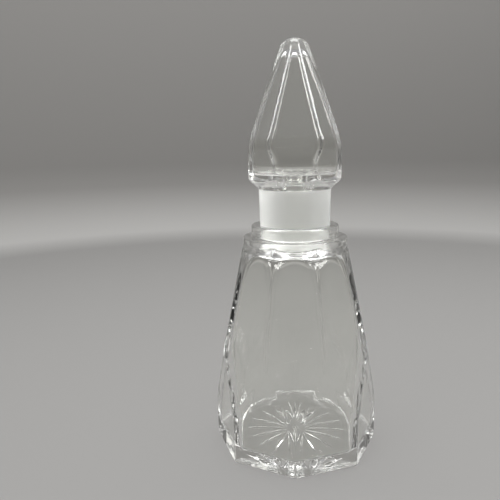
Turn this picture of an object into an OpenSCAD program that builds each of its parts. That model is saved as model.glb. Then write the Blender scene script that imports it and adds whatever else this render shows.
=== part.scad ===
// A tall perfume bottle in clear glass, with eight tapering panels and a pointed ground stopper.
// Frame: millimetres, +Z up, origin at the centre of the foot, the front of the bottle faces -Y.
// The bottle is one piece of glass and the stopper is another: the plug drops into the ground neck.

/* [Body] */
// Foot size across opposite corners
foot_d = 68.2; // [60:0.2:76]
// Distance from the axis to a panel face at the foot, before the corner cuts
panel_foot = 37.7; // [36.5:0.1:38.5]
// Distance from the axis to a panel face at the shoulder
panel_top = 20.6; // [20:0.1:21.4]
// Height of the shoulder
shoulder_z = 88.2; // [84:0.1:92]
// Outer diameter of the round shoulder
shoulder_d = 42.6; // [42:0.1:44]
// Bevel along the foot's bottom edge
foot_bevel = 0.5; // [0.2:0.1:1]

/* [Inside] */
// Glass thickness behind a tapering panel
wall = 3.4; // [2.6:0.1:4.4]
// Glass thickness behind a corner cut
corner_wall = 3.8; // [3:0.1:5]
// Glass thickness of the floor
floor_t = 5; // [4:0.1:7]
// How far the inside corners are rounded off, as a share of the corner's height
soften = 0.55; // [0.2:0.05:0.8]

/* [Neck] */
// Outer diameter of the collar
collar_d = 35.7; // [35:0.1:38]
// Height of the collar above the shoulder
collar_h = 4.9; // [3:0.1:7]
// Diameter of the ground bore at the mouth
bore_d = 28.3; // [26:0.1:29]
// Length of the ground bore
bore_len = 9; // [7:0.1:9.4]
// Narrowing of the bore's radius over one millimetre of depth
taper = 0.028; // [0.01:0.002:0.05]

/* [Stopper] */
// Radial gap between the ground plug and the ground bore
plug_gap = 0.06; // [0.02:0.01:0.1]
// Length of the plug that stands clear of the collar
plug_show = 14.6; // [12:0.1:18]
// Height of the finial above the plug
finial_h = 57.3; // [50:0.1:62]
// Width of the finial's band across its faces
band_w = 36.2; // [35:0.1:37.4]
// Height of the straight band's top above the finial's underside
band_h = 17; // [13:0.1:20]
// Radius of the rounded tip
tip_r = 6.8; // [5.5:0.1:7.5]
// Wall of the hollow finial
finial_wall = 3; // [2.5:0.1:4]
// Height of the finial's inner floor above its underside
finial_floor = 5.5; // [5:0.1:8]
// Diameter of the channel through the plug into the finial
channel_d = 10; // [6:0.1:14]

/* [Star cut] */
// Reach of a ray from the middle of the foot
star_r = 19.5; // [15:0.1:22]
// Depth of a ray at its deepest point
star_depth = 0.8; // [0.6:0.1:1.8]
// Number of rays
star_n = 16; // [8:4:20]

/* [Hidden] */
$fn = 128;
oct = cos(22.5);
top_z = shoulder_z + collar_h;
plug_z = top_z + plug_show;
tip_z = plug_z + finial_h;
plug_low = top_z - bore_len;
// distance from the axis to a tapering panel at height z
function panel(z) = panel_foot + (panel_top - panel_foot) * z / (shoulder_z - 2);
// points of a quarter round, centre at x, y, turning from angle a to angle b
function arc(x, y, r, a, b, n) = [for (i = [0 : n]) [x + r * cos(a + (b - a) * i / n), y + r * sin(a + (b - a) * i / n)]];

// eight-sided taper with flats facing the axes, from height z0 to z1
module taper8(z0, a0, z1, a1) {
    translate([0, 0, z0])
        rotate([0, 0, 22.5])
            cylinder(h = z1 - z0, r1 = a0 / oct, r2 = a1 / oct, $fn = 8);
}

// eight-sided block with corners facing the axes
module corner8(z0, a0, z1, a1) {
    translate([0, 0, z0])
        cylinder(h = z1 - z0, r1 = a0 / oct, r2 = a1 / oct, $fn = 8);
}

// turned blank that leaves the arched panel tops under the shoulder
module blank() {
    rotate_extrude()
        polygon(concat(
            [[0, 0], [50, 0], [50, shoulder_z - 20]],
            [[shoulder_d / 2 + 2.6, shoulder_z - 5.2], [shoulder_d / 2 + 0.9, shoulder_z - 3.4]],
            arc(shoulder_d / 2 - 1.6, shoulder_z - 1.6, 1.6, 0, 90, 6),
            [[0, shoulder_z]]));
}

// low round shoulder that stands a little proud of the panel tops
module shoulder_ring() {
    rotate_extrude()
        polygon(concat(
            [[0, shoulder_z - 4], [shoulder_d / 2 - 1.8, shoulder_z - 4], [shoulder_d / 2, shoulder_z - 2.2]],
            arc(shoulder_d / 2 - 1.4, shoulder_z - 1.4, 1.4, 0, 90, 6),
            [[0, shoulder_z]]));
}

// rounded collar around the mouth, with a small fillet onto the shoulder
module collar() {
    r = collar_d / 2;
    rotate_extrude()
        polygon(concat(
            [[0, shoulder_z - 3], [r + 0.5, shoulder_z - 3], [r + 0.5, shoulder_z], [r - 0.3, shoulder_z + 0.5]],
            arc(r - 1, shoulder_z + 1.5, 1, -45, 0, 3),
            arc(r - 1.2, top_z - 1.2, 1.2, 0, 90, 6),
            [[0, top_z]]));
}

// outside of the bottle: tapering panels, upright corner cuts and the turned top
module outside() {
    intersection() {
        taper8(0, panel(0), shoulder_z, panel(shoulder_z));
        union() {
            corner8(0, foot_d / 2 * oct - foot_bevel, foot_bevel, foot_d / 2 * oct);
            corner8(foot_bevel, foot_d / 2 * oct, shoulder_z, foot_d / 2 * oct);
        }
        blank();
    }
    shoulder_ring();
    collar();
}

// hollow of the body, following the outside with its corners softened
module hollow() {
    z1 = shoulder_z - 4;
    a0 = panel(floor_t) - wall;
    a1 = panel(z1) - wall;
    c = foot_d / 2 * oct - corner_wall;
    k = 1 + (1 / oct - 1) * (1 - soften);
    intersection() {
        taper8(floor_t, a0, z1, a1);
        corner8(floor_t, c, z1, c);
        rotate_extrude()
            polygon([[0, floor_t], [c * k - 2.4, floor_t], [c * k - 0.7, floor_t + 0.7], [c * k, floor_t + 2.4],
                [c * k, floor_t + 12], [a1 * k + (a0 - a1) * k * 0.5, (floor_t + z1) / 2],
                [a1 * k + 0.9, z1 - 4.6], [a1 * k - 0.6, z1 - 2], [a1 * k - 2.6, z1 - 0.6],
                [bore_d / 2 - 1.2, z1], [0, z1]]);
    }
}

// ground bore through the neck, open into the hollow
module neck_bore() {
    r = bore_d / 2;
    low = r - bore_len * taper;
    rotate_extrude()
        polygon([[0, shoulder_z - 7], [low, shoulder_z - 7], [low, plug_low],
            [r - 0.5 * taper, top_z - 0.5], [r + 0.5, top_z + 0.01], [0, top_z + 0.01]]);
}

// one ray of the star: a lens-shaped groove, cut by the V edge of a wheel that dips into the underside
module ray(a) {
    half = star_r * 0.45;
    wheel = (half * half + star_depth * star_depth) / (2 * star_depth);
    rotate([0, 0, a])
        intersection() {
            translate([star_r - half, 0, star_depth - wheel])
                rotate([90, 0, 0])
                    rotate_extrude()
                        polygon([[0, -1.5], [wheel - 1.2, -1.5], [wheel, 0], [wheel - 1.2, 1.5], [0, 1.5]]);
            translate([star_r - 2 * half - 1, -1.5, -0.02]) cube([2 * half + 2, 3, 3]);
        }
}

module bottle() {
    color([0.86, 0.93, 0.92])
        difference() {
            outside();
            hollow();
            neck_bore();
            for (i = [0 : star_n - 1]) ray(i * 360 / star_n);
        }
}

// ground plug, tapered to match the bore
module plug() {
    r = bore_d / 2 - plug_gap;
    low = r - bore_len * taper;
    high = r + plug_show * taper;
    rotate_extrude()
        polygon([[0, plug_low], [low - 0.5, plug_low], [low, plug_low + 0.5], [high, plug_z], [high, plug_z + 1], [0, plug_z + 1]]);
}

// four-sided taper whose flats face the axes, turned by an angle
module taper4(z0, a0, z1, a1, turn) {
    translate([0, 0, z0])
        rotate([0, 0, turn + 45])
            cylinder(h = z1 - z0, r1 = a0 * sqrt(2), r2 = a1 * sqrt(2), $fn = 4);
}

// the faceted spire over its band, moved in by w
module faces(w) {
    a = band_w / 2;
    d = a * 1.016;
    e = a * 1.105;
    knee = plug_z + band_h - 7;
    zb = plug_z + band_h;
    lean = (a - 4.6) / (tip_z - zb);
    lean_d = (e - 3.55) / (tip_z - zb);
    top = tip_z - w * 1.8;
    intersection() {
        taper4(plug_z, a - w, top, a - w, 0);
        union() {
            taper4(plug_z - 1, d - w, knee, d - w, 45);
            taper4(knee, d - w, top, d - w + (e - d) / 7 * (top - knee), 45);
        }
        taper4(plug_z, a - w + lean * band_h, top, 4.6 - w + lean * (tip_z - top), 0);
        taper4(plug_z, e - w + lean_d * band_h, top, 3.55 - w + lean_d * (tip_z - top), 45);
    }
}

// hollow finial cut from a turned blank with a round tip
module finial() {
    out = band_w / 2 + 2.8;
    zb = plug_z + band_h;
    difference() {
        intersection() {
            faces(0);
            rotate_extrude()
                polygon(concat(
                    [[0, plug_z], [bore_d / 2 + plug_show * taper + 0.2, plug_z], [out, plug_z + 5.4],
                        [out, zb + 8], [tip_r + 5.2, tip_z - 17]],
                    arc(0, tip_z - tip_r, tip_r, 18, 90, 10)));
        }
        intersection() {
            faces(finial_wall);
            translate([0, 0, plug_z + finial_floor]) cylinder(h = finial_h, r = 25);
        }
    }
}

module stopper() {
    color([0.9, 0.95, 0.94])
        difference() {
            union() {
                plug();
                finial();
            }
            translate([0, 0, plug_z - plug_show - bore_len - 1])
                cylinder(h = plug_show + bore_len + finial_floor + 1.5, d = channel_d);
        }
}

bottle();
stopper();
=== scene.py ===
# %% [markdown]
# # A cut-glass perfume bottle
# This lesson dresses a imported CAD model as clear glass. The real object has two pieces: the bottle,
# which is one piece of glass with a hollow in it, and the stopper, whose finial is hollow too.
# Glass shows both of its skins at once, so each piece is made here as one closed surface. The
# bottle's runs from the middle of the underside, up the outside, over the lip and back down the
# inside. The CAD solids stay in the scene, hidden, and give the sizes, and the new surfaces stand
# for them. All lengths are worked out in millimetres.

# %% Load the frame and measure it
import bpy
import numpy as np
from mathutils import Matrix, Vector


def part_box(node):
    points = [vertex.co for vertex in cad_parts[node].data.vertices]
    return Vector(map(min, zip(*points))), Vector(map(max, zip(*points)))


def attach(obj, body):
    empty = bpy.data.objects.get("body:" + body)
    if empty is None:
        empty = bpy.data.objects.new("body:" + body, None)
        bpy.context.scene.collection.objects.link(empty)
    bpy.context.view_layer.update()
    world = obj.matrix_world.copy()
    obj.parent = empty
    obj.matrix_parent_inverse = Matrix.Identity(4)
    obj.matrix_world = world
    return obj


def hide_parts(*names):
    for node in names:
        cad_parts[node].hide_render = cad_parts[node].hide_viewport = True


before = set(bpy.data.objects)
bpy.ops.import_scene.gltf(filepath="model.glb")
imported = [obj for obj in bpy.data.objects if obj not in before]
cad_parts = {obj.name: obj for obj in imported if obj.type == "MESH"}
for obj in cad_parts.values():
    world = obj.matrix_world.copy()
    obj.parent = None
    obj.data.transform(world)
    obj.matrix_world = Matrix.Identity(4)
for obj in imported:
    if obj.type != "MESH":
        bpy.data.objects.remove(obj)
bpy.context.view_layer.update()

MM = 0.001                             # one millimetre in metres
bottle_low, bottle_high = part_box("bottle")
stopper_low, stopper_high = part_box("stopper")
FOOT_R = bottle_high.x / MM            # from the axis to a corner of the foot
MOUTH_Z = bottle_high.z / MM           # top of the collar
PLUG_LOW = stopper_low.z / MM          # underside of the ground plug
TIP_Z = stopper_high.z / MM            # tip of the finial
BAND_A = stopper_high.x / MM           # from the axis to a main face of the finial's band
SECTOR = np.pi / 8                     # from the middle of a panel to the corner beside it
OCT = float(np.cos(SECTOR))            # distance to a side of an octagon, over the distance to its corner
FAR = 99.0                             # a facet or outline this far out cuts nothing off
print("foot radius", round(FOOT_R, 2), "mouth", round(MOUTH_Z, 2), "tip", round(TIP_Z, 2))

# %% [markdown]
# A few small helpers carry the whole lesson. A smooth minimum joins two surfaces with a rounded
# edge, which is how a polished cut edge looks: never knife sharp. It takes the smaller of two
# radii, and where they are closer than k it takes off up to a quarter of k. A smooth maximum is its
# mirror, for the inner corner under a ring. The others place grid columns: along a broken line
# through a few known angles, so that an edge of the cut glass always has grid lines running along
# it, with more of them close to the edge, and then mirrored round.

# %% Rounded joins and column spreading
def smooth_min(a, b, k):
    """min(a, b) less k/4 * h^2, with h = max(0, 1 - |a - b| / k)."""
    h = np.maximum(0.0, 1.0 - np.abs(a - b) / k)
    return np.minimum(a, b) - h * h * k / 4


def smooth_max(a, b, k):
    """max(a, b) plus k/4 * h^2, with h = max(0, 1 - |a - b| / k)."""
    return -smooth_min(-a, -b, k)


def ease(n, power=1.7):
    """n + 1 numbers from 0 to 1 that crowd together at both ends."""
    u = np.linspace(-1, 1, n + 1)
    return 0.5 + 0.5 * np.sign(u) * (1 - (1 - np.abs(u)) ** power)


def stop_rows(rows, *stops):
    """Stops as a table with one row per grid row; a stop is one angle, or an angle for each row."""
    return np.stack([np.broadcast_to(stop, (rows,)) for stop in stops], axis=1)


def spread(stops, counts):
    """Angles along each row: between neighbouring stops go counts columns, crowded at the stops."""
    parts = []
    for i, n in enumerate(counts):
        parts.append(stops[:, i:i + 1] + (stops[:, i + 1:i + 2] - stops[:, i:i + 1]) * ease(n)[:-1])
    parts.append(stops[:, -1:])
    return np.concatenate(parts, axis=1)


def unfold(half, turns):
    """Angles of one half sector, mirrored and repeated all the way round, without the last column."""
    width = half[:, -1:]
    pair = np.concatenate([half[:, :-1], 2 * width - half[:, :0:-1]], axis=1)
    return np.concatenate([pair + 2 * width * i for i in range(turns)], axis=1)


def repeat(values, shape, turns):
    """Radii or heights of one half sector, mirrored and repeated in the same way."""
    v = np.broadcast_to(values, shape)
    return np.tile(np.concatenate([v[:, :-1], v[:, :0:-1]], axis=1), (1, turns))


def wrap(half, radius, height, turns=8):
    """One zone of a skin: angles, radii and heights of all its columns, from one half sector."""
    return unfold(half, turns), repeat(radius, half.shape, turns), repeat(height, half.shape, turns)


print("columns in a sample row:", spread(np.array([[0, 5, 20, 22.5]]), [3, 6, 3]).round(1))

# %% [markdown]
# The outside of the bottle is cut, not moulded round: eight long panels lean in towards the neck,
# and eight upright facets take off their corners near the foot. Seen from the axis, a flat facet at
# distance d that faces the angle f has the radius d / cos(angle - f). The glass is wherever all of
# those radii allow, so the outside is their smooth minimum. That gives the pointed facets and the
# kinked silhouette with no booleans, on one grid.

# %% Facets of the body
SHOULDER_Z = MOUTH_Z - 4.9             # top of the shoulder, where the collar stands
PANEL_FOOT, PANEL_TOP = 37.7, 20.6     # from the axis to a panel at the foot and 2 mm below the shoulder
CORNER = FOOT_R * OCT                  # from the axis to an upright corner facet
EDGE = 0.55                            # how far a polished outer edge is eased, in millimetres


def panel(z):
    """Distance from the axis to a leaning panel at height z."""
    return PANEL_FOOT + (PANEL_TOP - PANEL_FOOT) * z / (SHOULDER_Z - 2)


def facets(angle, lean, upright, k, crisp=1.0):
    """Radius: smooth minimum of the nearest panels (eased by crisp * k) and upright facets (by k)."""
    r = smooth_min(lean / np.cos(angle), lean / np.cos(2 * SECTOR - angle), k * crisp)
    u = smooth_min(upright / np.cos(SECTOR - angle), upright / np.cos(SECTOR + angle), k)
    return smooth_min(r, u, k)


def meeting(lean, upright, rim=0.022):
    """Angle at which a leaning panel meets an upright facet, kept a little away from both ends."""
    t = np.arctan((upright / lean - OCT) / np.sin(SECTOR))
    return np.clip(t, rim, SECTOR - rim)


print("panels give way to corner facets at z =",
      round((PANEL_FOOT - CORNER * OCT) / (PANEL_FOOT - PANEL_TOP) * (SHOULDER_Z - 2), 1))

# %% [markdown]
# The star under the foot is cut with a thin wheel whose rim is a V. A wheel pressed into a flat
# face leaves a lens-shaped groove: deepest in the middle and running out to nothing at both ends.
# The depth along a ray follows the wheel's circle, and across it the groove is a V, so the height
# of the underside is a simple formula. A ray points at the middle of every panel and at every
# corner between two panels: 16 in all.

# %% Star on the underside
STAR_R, STAR_DEPTH = 19.5, 0.8         # outer end of the rays, and their depth in the middle
V_SLOPE = 0.8                          # rise of the groove's sides for each millimetre across
half_ray = STAR_R * 0.45               # half the length of a ray
WHEEL = (half_ray ** 2 + STAR_DEPTH ** 2) / (2 * STAR_DEPTH)   # radius of the wheel that cuts them


def groove_depth(r):
    """Depth along the middle of a ray at distance r from the axis: the wheel's circle in the glass."""
    x = np.clip(np.abs(r - (STAR_R - half_ray)), 0, half_ray)
    return np.maximum(0, STAR_DEPTH - WHEEL + np.sqrt(WHEEL ** 2 - x ** 2))


def star_height(r, angle):
    """Height of the underside: groove depth less the V's slope times the distance across the ray."""
    across = np.abs(r * np.sin(np.minimum(angle, SECTOR - angle)))
    return np.maximum(0, groove_depth(r) - across * V_SLOPE)


print("ray depth at the middle of a ray:", round(float(groove_depth(np.array(STAR_R - half_ray))), 2))

# %% [markdown]
# The rows of the bottle's grid are worked out zone by zone: underside, walls, shoulder, collar and
# bore, inner walls and floor. Each zone gives, for every row, the angles of its columns, a height,
# and then a radius. Rows crowd where the shape turns quickly, and a long flat wall needs only a few
# of them. The bottom edge is bevelled by half a millimetre, as on most cut bottles, so that it
# doesn't chip.

# %% Underside and walls
COLUMNS = [3, 5, 5, 3]                 # columns between the stops of one half sector
BEVEL = 0.5                            # height and width of the bevel round the foot
DISC_R = 30.0                          # the underside's circles turn into the octagon before this radius


def underside():
    """Circles out to the star's rim, then shapes that turn into the octagon of the foot."""
    share = np.concatenate([np.linspace(0, STAR_R / DISC_R, 24), np.linspace(0.69, 1, 7)])
    circle = share * DISC_R
    side = np.clip(groove_depth(circle) / V_SLOPE / np.maximum(circle, 0.5), 0.02, 0.16)
    half = spread(stop_rows(len(share), 0, side, SECTOR / 2, SECTOR - side, SECTOR), COLUMNS)
    octagon = facets(half, FAR, CORNER - BEVEL, EDGE)
    blend = np.clip((share[:, None] - 0.66) / 0.34, 0, 1)
    r = circle[:, None] * (1 - blend) + octagon * blend
    return wrap(half, r, star_height(r, half))


def walls():
    """From the foot's bevel up the leaning panels to just under the shoulder."""
    z = np.concatenate([[0.0, 0.12, 0.3, 0.5, 0.75, 1.2, 3], np.linspace(6, 15, 4), np.linspace(16, 22, 9),
                        np.linspace(24, 38, 8), np.linspace(39.5, 46, 10), np.linspace(50, 80, 8)])
    upright = CORNER - BEVEL * np.clip(1 - z / BEVEL, 0, 1) ** 1.6
    m = meeting(panel(z), upright)
    stops = stop_rows(len(z), 0, np.minimum(0.03, m * 0.4), m, m + (SECTOR - m) * 0.6, SECTOR)
    half = spread(stops, [3, 6, 4, 3])
    return wrap(half, facets(half, panel(z)[:, None], upright[:, None], EDGE), z[:, None])


print("rows of the underside and walls:", len(underside()[0]), len(walls()[0]))

# %% [markdown]
# The shoulder was turned before the panels were cut, and a low ring was left standing on it. So the
# panels run out under the ring in small arches. Two turned outlines give this: the blank, which
# takes glass off as one more facet would, and the ring, which adds glass. The collar, its mouth and
# the tapered bore are turned all round, with every inner corner of their outline replaced by a
# small curve.

# %% Shoulder, collar and bore
def turned(z, points):
    """Radius of a turned outline given as (radius, height) points, at height z."""
    p = np.array(points)
    return np.interp(z, p[:, 1], p[:, 0])


RING_R = 21.3                          # the low ring round the shoulder
BLANK = [(23.9, SHOULDER_Z - 5.2), (22.2, SHOULDER_Z - 3.4), (RING_R, SHOULDER_Z - 1.6)]
RING = [(18.5, SHOULDER_Z - 4.4), (RING_R - 0.9, SHOULDER_Z - 2.7),
        (RING_R, SHOULDER_Z - 2.1), (RING_R, SHOULDER_Z)]


def shoulder():
    """Panel tops: leaning panels and blank by smooth minimum, with the ring by smooth maximum."""
    z = np.linspace(81, SHOULDER_Z - 1.4, 30)
    half = spread(stop_rows(len(z), 0, 0.05, SECTOR / 2, SECTOR - 0.05, SECTOR), COLUMNS)
    body = facets(half, panel(z)[:, None], FAR, EDGE)
    body = smooth_min(body, turned(z, BLANK)[:, None], 0.5)
    return wrap(half, smooth_max(body, turned(z, RING)[:, None], 0.35), z[:, None])


def rounded(points, radii, n=5):
    """A turned outline: each inner corner of the line becomes a parabola of about its radius."""
    p = np.array(points, float)
    out = [p[0]]
    for i in range(1, len(p) - 1):
        a, b, c = p[i - 1], p[i], p[i + 1]
        la, lc = np.linalg.norm(a - b), np.linalg.norm(c - b)
        d = min(radii[i], la * 0.48, lc * 0.48)
        t = np.linspace(0, 1, n)[:, None]
        start, end = b + (a - b) / la * d, b + (c - b) / lc * d
        out += list((1 - t) ** 2 * start + 2 * t * (1 - t) * b + t ** 2 * end)
    out.append(p[-1])
    return np.array(out)


COLLAR_R, BORE_R = 17.85, 14.15        # outside of the collar, and the ground bore at the mouth
TAPER = 0.028                          # what the bore's radius loses for each millimetre down
BORE_LOW = BORE_R - (MOUTH_Z - PLUG_LOW) * TAPER   # the bore at the lower end of the plug


def lip():
    """Shoulder top, fillet, collar, mouth and ground bore: all turned, so each row has one radius."""
    line = rounded([(RING_R, SHOULDER_Z - 1.3), (RING_R, SHOULDER_Z), (COLLAR_R + 0.2, SHOULDER_Z + 0.1),
                    (COLLAR_R - 0.3, SHOULDER_Z + 0.6), (COLLAR_R, SHOULDER_Z + 1.2), (COLLAR_R, MOUTH_Z),
                    (BORE_R + 0.3, MOUTH_Z), (BORE_R - 0.02, MOUTH_Z - 0.6)],
                   [0, 1.4, 0.4, 0.4, 0.6, 1.2, 0.5, 0])
    down = np.linspace(1.2, MOUTH_Z - PLUG_LOW - 0.2, 10)
    line = np.concatenate([line, np.stack([BORE_R - down * TAPER, MOUTH_Z - down], axis=1)])
    half = spread(stop_rows(len(line), 0, 0.05, SECTOR / 2, SECTOR - 0.05, SECTOR), COLUMNS)
    return wrap(half, line[:, :1], line[:, 1:])


print("bore radius at the mouth and at the end of the plug:", BORE_R, round(BORE_LOW, 2))

# %% [markdown]
# The inside was formed by air and not cut, so it follows the outside with softer corners. The same
# facet formula makes it, moved in by the wall and eased much more. A turned ceiling closes it under
# the neck, and the wall runs onto the floor in a small curve.

# %% Hollow of the bottle
WALL, CORNER_WALL, FLOOR = 3.4, 3.8, 5.0   # glass behind panels, behind corner facets and below
SOFT = 2.4                             # easing of the hollow's upright corners
CURVE = 1.3                            # radius of the curve between wall and floor


def hollow():
    """Ceiling and inner walls: the outside's facets moved in by the wall, with generous easing."""
    top = PLUG_LOW - 0.2
    ceiling = rounded([(BORE_LOW, top), (BORE_LOW + 0.3, top - 0.3), (17.4, top - 1.6),
                       (19.4, top - 5), (21.4, top - 10)], [0, 0.3, 1.6, 2.5, 0], 6)
    z = np.concatenate([ceiling[:, 1], np.linspace(72, 24, 22), np.linspace(22, FLOOR + CURVE, 8)])
    cap = np.concatenate([ceiling[:, 0], np.full(len(z) - len(ceiling), FAR)])
    lean, upright = panel(z) - WALL, np.full(len(z), CORNER - CORNER_WALL)
    m = meeting(lean, upright)
    stops = stop_rows(len(z), 0, np.minimum(0.05, m * 0.4), m * 0.5 + SECTOR / 4, SECTOR - 0.06,
                      SECTOR)
    half = spread(stops, COLUMNS)
    r = facets(half, lean[:, None], upright[:, None], SOFT, 0.35)
    return wrap(half, smooth_min(r, cap[:, None], 1.2), z[:, None])


def floor_zone():
    """Curve from the inner wall onto the floor (a quarter circle), then in to the middle."""
    t = np.linspace(0.12, 1, 9)
    z = np.concatenate([FLOOR + CURVE * (1 - np.sin(t * np.pi / 2)), np.full(9, FLOOR)])
    inset = np.concatenate([CURVE * (1 - np.cos(t * np.pi / 2)), np.full(9, CURVE)])
    scale = np.concatenate([np.ones(9), np.linspace(0.92, 0, 9)])
    half = spread(stop_rows(len(z), 0, 0.06, SECTOR / 2, SECTOR - 0.06, SECTOR), COLUMNS)
    r = facets(half, panel(FLOOR + CURVE) - WALL, CORNER - CORNER_WALL, SOFT) - inset[:, None]
    return wrap(half, r * scale[:, None], z[:, None])


zones = [underside(), walls(), shoulder(), lip(), hollow(), floor_zone()]
print("rows per zone:", [len(z[0]) for z in zones], "columns:", zones[0][0].shape[1])

# %% [markdown]
# A grid turns into a mesh with a few array operations: every row joins the next one with quads, and
# the first and last rows are poles, each closed by a fan of triangles around one point. The signed
# volume shows that the faces point outwards, which glass needs more than anything else: light bends
# the wrong way through a face that is inside out.

# %% From zones to a closed mesh
def closed_mesh(name, zones):
    """All zones in order make one skin: (r cos, r sin, z) at every grid point, a pole at each end."""
    angle = np.concatenate([z[0] for z in zones])
    radius = np.concatenate([z[1] for z in zones])
    height = np.concatenate([z[2] for z in zones])
    first, last = height[0, 0], height[-1, 0]
    angle, radius, height = angle[1:-1], radius[1:-1], height[1:-1]
    rows, cols = radius.shape
    turn = angle - np.pi / 2
    grid = np.stack([radius * np.cos(turn), radius * np.sin(turn), height], axis=2).reshape(-1, 3)
    points = np.concatenate([grid, [[0, 0, first], [0, 0, last]]]) * MM
    i = np.arange(rows - 1)[:, None] * cols
    j, k = np.arange(cols)[None, :], (np.arange(cols)[None, :] + 1) % cols
    quads = np.stack([i + j, i + k, i + cols + k, i + cols + j], axis=2).reshape(-1, 4)
    j, k = j[0], k[0]
    start = np.stack([k, j, 0 * j + rows * cols], axis=1)
    end = np.stack([(rows - 1) * cols + j, (rows - 1) * cols + k, 0 * j + rows * cols + 1], axis=1)
    corners = np.concatenate([quads.ravel(), start.ravel(), end.ravel()])
    sizes = np.concatenate([np.full(len(quads), 4), np.full(2 * cols, 3)])
    mesh = bpy.data.meshes.new(name)
    mesh.vertices.add(len(points))
    mesh.vertices.foreach_set("co", points.ravel())
    mesh.loops.add(len(corners))
    mesh.loops.foreach_set("vertex_index", corners)
    mesh.polygons.add(len(sizes))
    mesh.polygons.foreach_set("loop_start", np.concatenate([[0], np.cumsum(sizes)[:-1]]))
    mesh.update(calc_edges=True)
    mesh.validate()
    mesh.polygons.foreach_set("use_smooth", np.ones(len(mesh.polygons), bool))
    ob = bpy.data.objects.new(name, mesh)
    bpy.context.scene.collection.objects.link(ob)
    triangles, volume, closed = skin_facts(mesh)
    print(name, "triangles", triangles, "volume cm3", round(volume, 2), "closed", closed)
    return ob


def skin_facts(mesh):
    """Triangles, signed volume (a sixth of the triple products) and whether each edge has two faces."""
    mesh.calc_loop_triangles()
    tri = np.empty(len(mesh.loop_triangles) * 3, int)
    mesh.loop_triangles.foreach_get("vertices", tri)
    co = np.empty(len(mesh.vertices) * 3)
    mesh.vertices.foreach_get("co", co)
    p = co.reshape(-1, 3)[tri.reshape(-1, 3)]
    volume = np.einsum("ij,ij->i", p[:, 0], np.cross(p[:, 1], p[:, 2])).sum() / 6 * 1e6
    return len(p), volume, len(mesh.edges) * 2 == sum(len(q.vertices) for q in mesh.polygons)


bottle = closed_mesh("bottle_glass", zones)

# %% [markdown]
# The stopper is blown glass, ground below and cut above, with a hollow finial and a channel down
# through the plug. One grid again makes the whole skin, from the top of the hollow down and out,
# then up to the tip. The double lines along every edge come from the two skins. The finial has four
# main faces that look along the axes and four between them. The main faces stand upright in the
# band and lean in above it. The ones between flare out a little towards the top of the band and
# then lean in more steeply, so a main face is widest at the band's top edge and narrows both ways.
# The underside is turned to a cone, which leaves a row of small arches where it meets the flat
# faces, and the tip is fire-polished round.

# %% Sizes of the stopper
PLUG_SHOWS = 14.6                      # how much of the plug stands above the collar
PLUG_TOP = MOUTH_Z + PLUG_SHOWS        # where the ground plug ends and the finial starts
BAND_TOP = PLUG_TOP + 17.0             # top edge of the upright band
BAND_D, WIDE_D = BAND_A * 1.016, BAND_A * 1.105   # a face between, low in the band and at its top edge
BAND_REACH = BAND_A + 2.8              # turned radius over the corners of the band
CONE_TOP = PLUG_TOP + 5.4              # where the coned underside reaches the band's corners
FLARE_H = 7.0                          # height over which the faces between flare out
TIP_R = 6.8                            # radius of the round tip
GAP = 0.06                             # clearance of the plug in the bore
PLUG_R = BORE_R - GAP + PLUG_SHOWS * TAPER         # the plug where it meets the finial
LEAN = (BAND_A - 4.6) / (TIP_Z - BAND_TOP)         # how fast a main face closes in on the axis
LEAN_D = (WIDE_D - 3.55) / (TIP_Z - BAND_TOP)      # the same for a face between
FINIAL_WALL, FINIAL_FLOOR = 3.0, 5.5   # glass round the finial's hollow, and between it and the plug
CHANNEL_R = 5.0                        # the channel through the plug
CROWN_R, HEEL_R = 3, 2                 # curves at the top and at the floor of the finial's hollow
print("plug top", round(PLUG_TOP, 1), "band top", round(BAND_TOP, 1))
print("main faces lean in by", round(LEAN, 3), "and the faces between by", round(LEAN_D, 3))

# %% [markdown]
# The finial's faces are joined in the same way as the body's, on half sectors of 45 degrees. Its
# hollow takes these faces, moved in by the wall. A round top and a curve onto the floor are quarter
# circles in height: the first scales the radius, and the second takes a little off it.

# %% Faces of the finial
def finial_zone(z, cap):
    """Radius at height z: smooth minimum of the main face, the face between and the cap outline."""
    front = smooth_min(np.full(len(z), BAND_A), BAND_A - LEAN * (z - BAND_TOP), 2.2)
    flare = BAND_D + (WIDE_D - BAND_D) / FLARE_H * (z - BAND_TOP + FLARE_H)
    flare = smooth_max(np.full(len(z), BAND_D), flare, 0.25)
    between = smooth_min(flare, WIDE_D - LEAN_D * (z - BAND_TOP), 1.6)
    meet = np.clip(np.arctan(np.sqrt(2) * between / front - 1), 0.1, 0.7)
    half = spread(stop_rows(len(z), 0, meet - 0.09, meet, meet + 0.09, 2 * SECTOR), [8, 6, 6, 8])
    r = smooth_min(front[:, None] / np.cos(half), between[:, None] / np.cos(2 * SECTOR - half), 0.9)
    return wrap(half, smooth_min(r, cap[:, None], 0.45), z[:, None], turns=4)


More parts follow.
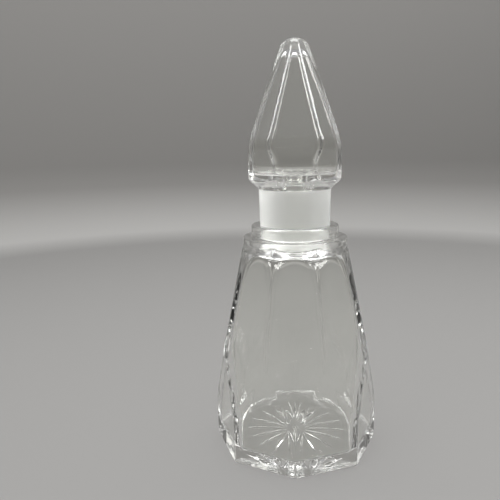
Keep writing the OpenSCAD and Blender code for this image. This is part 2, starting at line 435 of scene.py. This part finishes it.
def finial_hollow():
    """The faces moved in by the wall, from a round top down to the flat floor round the channel."""
    top, floor = TIP_Z - FINIAL_WALL * 1.8, PLUG_TOP + FINIAL_FLOOR
    turn = np.linspace(0, np.pi / 2, 10)
    z = np.concatenate([top - CROWN_R * (1 - np.cos(turn)), np.linspace(top - 4, BAND_TOP + 9, 10),
                        np.linspace(BAND_TOP + 8, BAND_TOP - 6, 26),
                        np.linspace(BAND_TOP - 6.6, BAND_TOP - 7.4, 4),
                        floor + HEEL_R * (1 - np.sin(np.linspace(0, np.pi / 2, 8))), np.full(6, floor)])
    angle, r, height = finial_zone(z, np.full(len(z), FAR))
    crown = np.maximum(0, CROWN_R - (top - z))
    crown = np.sqrt(np.maximum(0, CROWN_R ** 2 - crown ** 2)) / CROWN_R
    heel = np.maximum(0, HEEL_R - (z - floor))
    heel = HEEL_R - np.sqrt(np.maximum(0, HEEL_R ** 2 - heel ** 2))
    r = (r - FINIAL_WALL) * crown[:, None] - heel[:, None]
    share = np.linspace(0.1, 1, 6)[:, None]
    r[-6:] = r[-6:] * (1 - share) + (CHANNEL_R + 0.5) * share
    return angle, r, height


print("rows in the finial's hollow:", len(finial_hollow()[0]))

# %% [markdown]
# The channel and the plug are turned, so one outline of radius and height gives them. The finial's
# outside is cut off by a second turned outline: the cone of its underside, the corners of the band
# and the narrow end, from which a dome closes the tip.

# %% Plug, outside and tip
def plug():
    """Channel down through the plug, its underside and its ground side: all turned, with eased edges."""
    floor = PLUG_TOP + FINIAL_FLOOR
    pipe = np.array([(CHANNEL_R + 0.15, floor - 0.15), (CHANNEL_R, floor - 0.5),
                     (CHANNEL_R, (floor + PLUG_LOW) / 2), (CHANNEL_R, PLUG_LOW + 0.5),
                     (CHANNEL_R + 0.15, PLUG_LOW + 0.15)])
    low, high = BORE_LOW - GAP, PLUG_R
    edge = rounded([(CHANNEL_R + 1, PLUG_LOW), (low - 0.5, PLUG_LOW), (low, PLUG_LOW + 0.5),
                    (high, PLUG_TOP)], [0, 0.4, 0.4, 0], 4)[1:-1]
    disc = np.stack([np.linspace(CHANNEL_R + 0.5, low - 1.2, 6), np.full(6, PLUG_LOW)], axis=1)
    t = np.linspace(0.1, 1, 16)
    side = np.stack([low + (high - low) * t, PLUG_LOW + 0.5 + (PLUG_TOP - PLUG_LOW - 0.8) * t], axis=1)
    line = np.concatenate([pipe, disc, edge, side])
    half = spread(stop_rows(len(line), 0, 0.3, 0.4, 0.5, 2 * SECTOR), [10, 4, 4, 10])
    return wrap(half, line[:, :1], line[:, 1:], turns=4)


def finial_outside():
    """Coned underside, band and leaning faces, up to where the round tip takes over."""
    neck, last = PLUG_R + 0.2, TIP_Z - TIP_R + 2.1
    z = np.concatenate([np.linspace(PLUG_TOP + 0.02, PLUG_TOP + 2.4, 7),
                        np.linspace(PLUG_TOP + 2.6, CONE_TOP, 18),
                        np.linspace(PLUG_TOP + 6.2, BAND_TOP - 7.8, 3),
                        np.linspace(BAND_TOP - 7.4, BAND_TOP - 6.6, 5),
                        np.linspace(BAND_TOP - 6.2, BAND_TOP + 7, 34),
                        np.linspace(BAND_TOP + 8, TIP_Z - 18, 10), np.linspace(TIP_Z - 17, last, 24)])
    cap = np.interp(z, [PLUG_TOP, CONE_TOP, BAND_TOP + 8, TIP_Z - 17, last],
                    [neck, BAND_REACH, BAND_REACH, TIP_R + 5.2, TIP_R * np.cos(0.314)])
    return finial_zone(z, cap)


def tip():
    """The round tip: a dome from 20 degrees up to its pole."""
    a = np.radians(np.linspace(20, 90, 16))
    return finial_zone(TIP_Z - TIP_R + TIP_R * np.sin(a), np.maximum(TIP_R * np.cos(a), 0))


stopper = closed_mesh("stopper_glass", [finial_hollow(), plug(), finial_outside(), tip()])

# %% [markdown]
# Shader maths reads best as ordinary expressions. The class below wraps one socket, and each
# operator adds a Math node. Its one other method adds any node: settings first, then the values or
# links of its sockets. A small function does the same for the sockets of a node that is already
# there.

# %% Shader expressions
class Wire:
    def __init__(self, tree, socket):
        self.tree, self.socket = tree, socket

    def node(self, kind, settings=None, output=0, **inputs):
        """Adds a node of that kind; settings are set first, then its sockets are fed."""
        n = self.tree.nodes.new("ShaderNode" + kind)
        for key, value in (settings or {}).items():
            setattr(n, key, value)
        feed(n, **inputs)
        return Wire(self.tree, n.outputs[output])

    def math(self, operation, *values):
        inputs = {"i" + str(i): value for i, value in enumerate(values)}
        return self.node("Math", {"operation": operation}, **inputs)

    def __add__(self, other): return self.math("ADD", self, other)
    def __radd__(self, other): return self.math("ADD", other, self)
    def __mul__(self, other): return self.math("MULTIPLY", self, other)
    def __pow__(self, other): return self.math("POWER", self, other)


def feed(node, **inputs):
    """Gives sockets values or links, by name with _ for a space; i0 and i1 count from the first."""
    for key, value in inputs.items():
        counted = key[0] == "i" and key[1:].isdigit()
        socket = node.inputs[int(key[1:]) if counted else key.replace("_", " ")]
        if isinstance(value, Wire):
            value.tree.links.new(value.socket, socket)
        else:
            socket.default_value = value


def new_material(name):
    """A new material; returns it, its Principled shader and a wire with the place on the piece."""
    m = bpy.data.materials.new(name)
    m.use_nodes = True
    shader = m.node_tree.nodes["Principled BSDF"]
    coordinates = m.node_tree.nodes.new("ShaderNodeTexCoord")
    return m, shader, Wire(m.node_tree, coordinates.outputs["Object"])


print("shader helpers ready:", Wire.__name__, feed.__name__, new_material.__name__)

# %% [markdown]
# Polished glass is close to invisible: it shows its edges, and what stands around it. The shader is
# a plain Principled one with full transmission. Hand-polished facets are never quite flat, so a
# very low, wide bump makes the reflections wander a little, and fine wiping marks and dust make
# small changes in roughness.

# %% Polished glass
GLASS_INDEX = 1.52                     # how strongly crown glass bends light


def polished_glass(name, wander, stretch):
    """Clear glass; wander is the strength of the wide waves, stretch draws them out along the piece."""
    m, shader, place = new_material(name)
    drawn = place.node("Mapping", Vector=place, Scale=(1.0, 1.0, stretch))
    wide = place.node("TexNoise", Vector=drawn, Scale=95.0, Detail=1.5, Roughness=0.45)
    fine = place.node("TexNoise", Vector=place, Scale=900.0, Detail=3.0, Roughness=0.6)
    waves = place.node("Bump", Strength=wander, Distance=0.0006, Height=wide)
    feed(shader, Base_Color=(0.988, 0.992, 0.972, 1), Transmission_Weight=1.0, IOR=GLASS_INDEX,
         Roughness=fine ** 6.0 * 0.08, Normal=waves)
    return m


clear = polished_glass("clear_glass", 0.06, 0.5)
clear_stopper = polished_glass("clear_glass_stopper", 0.45, 0.22)
print("clear glass on", clear.name)

# %% [markdown]
# The plug is ground with grit so that it seals. Its surface is a fine, even grain that scatters
# light and looks milky white. High roughness with transmission gives the glow, and a touch less
# transmission gives the white body. Faint rings are left by turning it in the bore. The bore is
# lapped finer than the plug, so the collar round it stays nearly clear: the same recipe with a low
# roughness.

# %% Ground glass
def ground_glass(name, tint, through, rough):
    """Ground glass; through is how much light passes, rough its roughness before the grain's share."""
    m, shader, place = new_material(name)
    grain = place.node("TexNoise", Vector=place, Scale=2600.0, Detail=4.0, Roughness=0.7)
    flat = place.node("Mapping", Vector=place, Scale=(40.0, 40.0, 1400.0))
    rings = place.node("TexNoise", Vector=flat, Scale=1.0, Detail=2.0)
    relief = place.node("Bump", Strength=0.35, Distance=0.00005, Height=grain * 0.7 + rings * 0.5)
    feed(shader, Base_Color=(*tint, 1), Transmission_Weight=through, IOR=GLASS_INDEX,
         Roughness=rough + (grain * 0.6 + rings * 0.4) * 0.2, Normal=relief)
    return m


ground = ground_glass("ground_glass", (0.955, 0.965, 0.935), 0.86, 0.42)
fine_ground = ground_glass("fine_ground_glass", (0.985, 0.99, 0.975), 1.0, 0.06)
print("ground glass on", ground.name, "and", fine_ground.name)

# %% [markdown]
# Each piece has two material slots. The faces of the plug's side, and of the bore that holds it,
# take the ground finish by their height and distance from the axis. Then the pieces ride on their
# bodies and stand for the CAD solids.

# %% Finishes and bodies
def paint(ob, polished, matt, low, high, near, far):
    """Faces between two heights and two distances from the axis get the ground (matt) finish."""
    ob.data.materials.append(polished)
    ob.data.materials.append(matt)
    count = len(ob.data.polygons)
    middle = np.empty(count * 3)
    ob.data.polygons.foreach_get("center", middle)
    middle = middle.reshape(-1, 3) / MM
    r = np.hypot(middle[:, 0], middle[:, 1])
    chosen = (middle[:, 2] > low) & (middle[:, 2] < high) & (r > near) & (r < far)
    ob.data.polygons.foreach_set("material_index", chosen.astype(int))
    print(ob.name, "ground faces:", int(chosen.sum()))


paint(stopper, clear_stopper, ground, PLUG_LOW + 0.4, PLUG_TOP - 0.3, BORE_LOW - 0.7, BORE_R + 0.85)
paint(bottle, clear, fine_ground, PLUG_LOW, MOUTH_Z - 0.4, BORE_LOW - 0.7, BORE_R + 0.1)
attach(bottle, "bottle")
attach(stopper, "stopper")
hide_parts("bottle")
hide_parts("stopper")
bottle.visible_shadow = stopper.visible_shadow = False   # clear glass throws next to no shadow

# %% [markdown]
# Clear glass needs something to show. The room is a round pale floor that curves up into a low
# wall, the same from every side, with a large soft light on the right, a weaker one on the left and
# one above. The paper's colour also paints the light's falloff: a brighter band where the floor
# bends up is painted light, and the darker grey of the wall is painted shade. Cards that only the
# glass sees draw the dark and bright lines that give a glass edge its shape, as they do in a studio.

# %% Room
BELOW = 0.00005                        # the floor lies this far under the foot, so they never touch


def bowl(name, floor, bend, top, cols=96):
    """Round floor, quarter circle and wall: one profile of radius and height, turned about the axis."""
    t = np.linspace(0, np.pi / 2, 16)[1:]
    r = np.concatenate([np.linspace(0.02, floor, 14), floor + bend * np.sin(t), [floor + bend]])[:, None]
    z = np.concatenate([np.zeros(14), bend * (1 - np.cos(t)), [top]])[:, None] - BELOW
    turn = np.linspace(0, 2 * np.pi, cols + 1)[None, :-1]
    grid = np.stack(np.broadcast_arrays(r * np.cos(turn), r * np.sin(turn), z), axis=2).reshape(-1, 3)
    i, j = np.arange(len(r) - 1)[:, None] * cols, np.arange(cols)[None, :]
    k = (j + 1) % cols
    faces = np.stack([i + j, i + cols + j, i + cols + k, i + k], axis=2).reshape(-1, 4)
    mesh = bpy.data.meshes.new(name)
    mesh.from_pydata(grid.tolist(), [], faces.tolist() + [list(range(cols))])
    mesh.polygons.foreach_set("use_smooth", np.ones(len(mesh.polygons), bool))
    ob = bpy.data.objects.new(name, mesh)
    bpy.context.scene.collection.objects.link(ob)
    return ob


room = bowl("room", 0.5, 0.1, 0.42)
paper, shader, place = new_material("paper_with_painted_falloff")
# The colour ramp over height paints the light's falloff into the paper: an even floor, a brighter painted
# band where it bends up, and a wall painted darker as shade.
height = place.node("MapRange", Value=place.node("SeparateXYZ", output=2, Vector=place), From_Max=0.07)
tone = place.node("ValToRGB", Fac=height)
painted_falloff_stops = tone.socket.node.color_ramp.elements
painted_falloff_stops.new(0.15)
# Stops: even floor, painted light at the bend, painted shade on the wall.
for stop, shade in zip(painted_falloff_stops, [(0.222, 0.219, 0.213), (0.30, 0.296, 0.288), (0.182, 0.178, 0.171)]):
    stop.color = (*shade, 1)
feed(shader, Base_Color=tone, Roughness=0.85, Specular_IOR_Level=0.2)
room.data.materials.append(paper)
print("room tones at", [round(stop.position, 2) for stop in painted_falloff_stops])

# %% [markdown]
# A soft light is an area lamp as large as the light box it stands for, turned so that it looks at
# the bottle. A card is one flat face. The camera doesn't see it, and it throws no shadow and lights
# nothing: only the glass mirrors it or bends its tone into view. Two dark cards draw the dark
# lines, and a pale one a bright line.

# %% Cards, lights and world
def softbox(name, where, towards, width, height, watts):
    """A rectangular area lamp that stands at one point and looks at another."""
    light = bpy.data.lights.new(name, "AREA")
    light.shape, light.size, light.size_y, light.energy = "RECTANGLE", width, height, watts
    ob = bpy.data.objects.new(name, light)
    aim = (Vector(towards) - Vector(where)).to_track_quat("-Z", "Y").to_matrix().to_4x4()
    ob.matrix_world = Matrix.Translation(where) @ aim
    bpy.context.scene.collection.objects.link(ob)


def card(name, corner, along, up, shade):
    """A flat card that only glass sees: corner + s * along + t * up, with s and t from 0 to 1."""
    s, t = np.array([0, 1, 1, 0.0])[:, None], np.array([0, 0, 1, 1.0])[:, None]
    mesh = bpy.data.meshes.new(name)
    points = np.array(corner) + s * np.array(along) + t * np.array(up)
    mesh.from_pydata(points.tolist(), [], [(0, 1, 2, 3)])
    ob = bpy.data.objects.new(name, mesh)
    bpy.context.scene.collection.objects.link(ob)
    finish, shader, _ = new_material(name)
    feed(shader, Base_Color=(*shade, 1), Roughness=0.9)
    mesh.materials.append(finish)
    ob.visible_camera = ob.visible_shadow = ob.visible_diffuse = False


card("left_card", (-0.42, -0.34, 0.0), (-0.04, 0.27, 0), (0, 0, 0.45), (0.02, 0.02, 0.02))
card("back_left_card", (-0.36, 0.42, 0.0), (0.07, 0.03, 0), (0, 0, 0.6), (0.03, 0.03, 0.03))
card("back_right_card", (0.30, 0.42, 0.0), (0.07, -0.03, 0), (0, 0, 0.6), (0.85, 0.84, 0.8))
softbox("right_light", (0.75, -0.25, 0.65), (0, 0, 0.08), 0.5, 0.6, 12)
softbox("left_light", (-0.6, -0.5, 0.8), (0, 0, 0.08), 0.4, 0.4, 5.5)
softbox("top_light", (0.0, 0.1, 1.1), (0, 0, 0.05), 0.8, 0.6, 10)
world = bpy.data.worlds.new("room_light")
bpy.context.scene.world = world
world.use_nodes = True
feed(world.node_tree.nodes["Background"], Color=(0.5, 0.5, 0.51, 1), Strength=0.72)
bpy.context.scene.view_settings.view_transform = "Standard"
# Light crosses many skins of glass before it leaves, so it gets more bounces than usual.
cycles = bpy.context.scene.cycles
cycles.max_bounces, cycles.transmission_bounces, cycles.glossy_bounces = 32, 32, 16
cycles.caustics_reflective = cycles.caustics_refractive = False
print("lights and cards set, bounces", cycles.max_bounces)

# %% [markdown]
# The camera stands a little above the shoulder of the bottle and close to it, looking slightly
# down, so the foot's nearest corner points at it. The bottle stands right of the middle of the
# frame, so the camera looks a little to its left.

# %% Camera
camera = bpy.data.objects.new("camera", bpy.data.cameras.new("camera"))
camera.data.sensor_width, camera.data.lens, camera.data.clip_end = 36, 38.95, 20
eye = Vector((0, -219.5, 124.8)) * MM
pitch, yaw, roll = np.radians([-10.96, 4.83, -1.04])
look = Matrix.Rotation(yaw, 4, "Z") @ Matrix.Rotation(np.pi / 2 + pitch, 4, "X")
look = look @ Matrix.Rotation(roll, 4, "Z")
camera.matrix_world = Matrix.Translation(eye) @ look
bpy.context.scene.collection.objects.link(camera)
bpy.context.scene.camera = camera
print("camera at", [round(v, 4) for v in eye])
